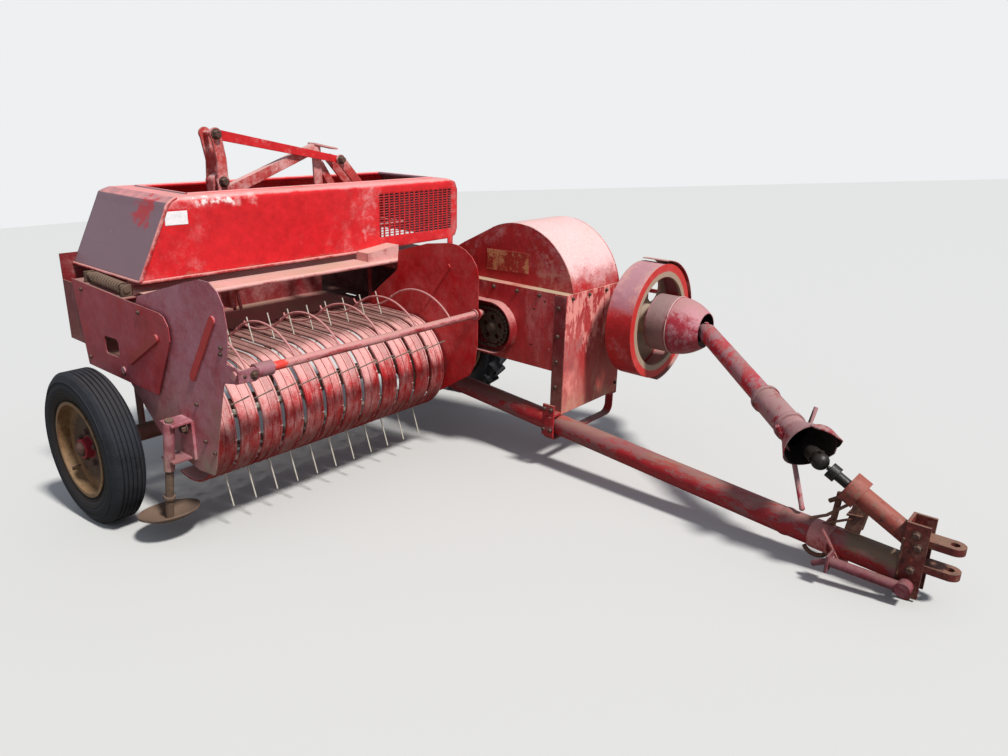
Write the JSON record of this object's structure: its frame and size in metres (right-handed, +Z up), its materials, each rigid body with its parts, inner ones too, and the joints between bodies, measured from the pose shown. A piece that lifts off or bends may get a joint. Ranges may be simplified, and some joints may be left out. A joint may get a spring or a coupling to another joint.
{
  "type": "square baler",
  "caption": "Trailed square baler parked on its hitch foot: tined pickup reel, feeder hood, plunger case with flywheel, bale chamber, swinging tongue and driveline.",
  "frame": {"origin": "bottom centre of the bounding box, on the ground", "axes": "+Y towards the machine's rear, +X towards its left, +Z up; parked nose down on the hitch foot"},
  "size_m": [2.423, 4.8807, 1.6094],
  "materials": {
    "red_paint": "worn red paint, chalked on top and rusted at edges",
    "faded_paint": "faded dusty red paint",
    "frame_paint": "red paint over rust",
    "wheel_paint": "tan wheel paint with rust",
    "casting": "oily casting",
    "bare_steel": "brown rusted steel",
    "greasy_steel": "black greased steel",
    "tyre": "dusty weathered rubber"
  },
  "bodies": {
    "machine": {"axle": "frame_paint", "side_panel": "faded_paint", "plunger_case": "red_paint", "crank_arch": "red_paint", "gearbox": "casting", "bale_chamber": "red_paint", "chamber_rails": "red_paint", "tension_gear": "bare_steel", "feeder_house": "red_paint", "shelf": "red_paint", "hood": "red_paint", "feeder_stays": "faded_paint", "chain_guard": "red_paint", "drive_chain": "bare_steel", "flywheel_guard": "red_paint", "pto_bell": "red_paint", "tongue_latch": "red_paint", "knotter": "red_paint", "twine_box": "red_paint", "lift_spring": "bare_steel"},
    "wheel_right": {"wheel_right": "wheel_paint", "tyre_right": "tyre"},
    "wheel_left": {"wheel_left": "wheel_paint", "tyre_left": "tyre"},
    "flywheel": {"flywheel": "red_paint"},
    "sprocket": {"drive_sprocket": "bare_steel"},
    "tongue": {"tongue": "red_paint", "hitch": "bare_steel"},
    "front_shaft": {"pto_stub": "greasy_steel"},
    "shaft_yoke": {"shaft_yoke": "greasy_steel"},
    "stand": {"hitch_stand": "bare_steel"},
    "driveline": {"driveline": "red_paint"},
    "sleeve": {"driveline_sleeve": "red_paint"},
    "pickup": {"pickup_plate_right": "faded_paint", "pickup_plate_left": "red_paint", "pickup_bands": "red_paint"},
    "reel": {"reel": "bare_steel"},
    "windguard": {"windguard": "faded_paint"},
    "skid": {"skid": "bare_steel"},
    "plunger": {"plunger": "bare_steel"},
    "needles": {"needle_yoke": "faded_paint"},
    "star": {"star_wheel": "bare_steel"},
    "twine_lid": {"twine_lid": "red_paint"},
    "feeder_rocker": {"feeder_rocker": "faded_paint"},
    "feeder_bar": {"feeder_bar": "red_paint"},
    "feeder_arm": {"feeder_arm": "red_paint"}
  },
  "joints": [
    {"name": "wheel_right_spin", "type": "hinge", "parent": "machine", "child": "wheel_right", "pos_m": [-1.1385, 0.57372, 0.328], "axis": [1, 0, 0], "continuous": true},
    {"name": "wheel_left_spin", "type": "hinge", "parent": "machine", "child": "wheel_left", "pos_m": [1.1385, 0.57372, 0.328], "axis": [1, 0, 0], "continuous": true},
    {"name": "flywheel_spin", "type": "hinge", "parent": "machine", "child": "flywheel", "pos_m": [0.8205, -0.95421, 0.64407], "axis": [0, 0.9953, 0.0971], "continuous": true},
    {"name": "sprocket_spin", "type": "hinge", "parent": "machine", "child": "sprocket", "pos_m": [0.3695, -0.36088, 0.63868], "axis": [1, 0, 0], "continuous": true},
    {"name": "tongue_swing", "type": "hinge", "parent": "machine", "child": "tongue", "pos_m": [0.6405, 0.44696, 0.2885], "axis": [0, -0.0971, 0.9953], "range_deg": [0, 17.5]},
    {"name": "front_shaft_spin", "type": "hinge", "parent": "tongue", "child": "front_shaft", "pos_m": [0.1035, -1.99543, 0.38972], "axis": [0, -0.8328, -0.5536], "continuous": true},
    {"name": "yoke_yaw", "type": "hinge", "parent": "tongue", "child": "shaft_yoke", "pos_m": [0.1035, -1.99543, 0.38972], "axis": [0, -0.0971, 0.9953], "range_deg": [0, 27.46]},
    {"name": "stand_fold", "type": "hinge", "parent": "tongue", "child": "stand", "pos_m": [0.0255, -2.29363, 0.05818], "axis": [-1, 0, 0], "range_deg": [0, 85]},
    {"name": "driveline_yaw", "type": "hinge", "parent": "machine", "child": "driveline", "pos_m": [0.8205, -1.23089, 0.61706], "axis": [0, -0.0971, 0.9953], "range_deg": [0, 44.96]},
    {"name": "sleeve_slide", "type": "slide", "parent": "driveline", "child": "sleeve", "axis": [0.6685, 0.7128, 0.212], "range_m": [0, 0.2352]},
    {"name": "pickup_lift", "type": "hinge", "parent": "machine", "child": "pickup", "pos_m": [-0.3665, 0.48341, 0.63568], "axis": [-1, 0, 0], "range_deg": [0, 6]},
    {"name": "reel_spin", "type": "hinge", "parent": "pickup", "child": "reel", "pos_m": [-0.3665, 0.10327, 0.45389], "axis": [1, 0, 0], "continuous": true},
    {"name": "windguard_tilt", "type": "hinge", "parent": "pickup", "child": "windguard", "pos_m": [-0.3665, -0.34637, 0.71646], "axis": [1, 0, 0], "range_deg": [0, 6]},
    {"name": "skid_height", "type": "slide", "parent": "pickup", "child": "skid", "axis": [0, 0.2859, -0.9582], "range_m": [-0.05, 0.06]},
    {"name": "plunger_slide", "type": "slide", "parent": "machine", "child": "plunger", "axis": [0, 0.9953, 0.0971], "range_m": [0, 0.66]},
    {"name": "needle_swing", "type": "hinge", "parent": "machine", "child": "needles", "pos_m": [0.6335, 1.48231, 0.79849], "axis": [-1, 0, 0], "range_deg": [0, 66]},
    {"name": "star_spin", "type": "hinge", "parent": "machine", "child": "star", "pos_m": [0.6335, 1.6606, 1.08215], "axis": [1, 0, 0], "continuous": true},
    {"name": "lid_open", "type": "hinge", "parent": "machine", "child": "twine_lid", "pos_m": [-0.1065, 0.95291, 1.03418], "axis": [1, 0, 0], "range_deg": [0, 75]},
    {"name": "feeder_rock", "type": "hinge", "parent": "machine", "child": "feeder_rocker", "pos_m": [-0.4065, 0.56217, 1.37282], "axis": [0, 0.9953, 0.0971], "range_deg": [-8, 8]},
    {"name": "feeder_bar_pin", "type": "hinge", "parent": "feeder_rocker", "child": "feeder_bar", "pos_m": [-0.4245, 0.5114, 1.57384], "axis": [0, 0.9953, 0.0971], "range_deg": [-10.4, 10.4]},
    {"name": "feeder_arm_pin", "type": "hinge", "parent": "feeder_bar", "child": "feeder_arm", "pos_m": [0.2635, 0.52393, 1.44545], "axis": [0, 0.9953, 0.0971], "range_deg": [-11.25, 11.25]}
  ],
  "couplings": [
    {"joint": "yoke_yaw", "follows": "tongue_swing", "ratio": 1.568},
    {"joint": "driveline_yaw", "follows": "tongue_swing", "ratio": 2.568},
    {"joint": "sleeve_slide", "follows": "tongue_swing", "m_per_rad": 0.7694},
    {"joint": "feeder_bar_pin", "follows": "feeder_rock", "ratio": -1.292},
    {"joint": "feeder_arm_pin", "follows": "feeder_rock", "ratio": 1.398}
  ]
}
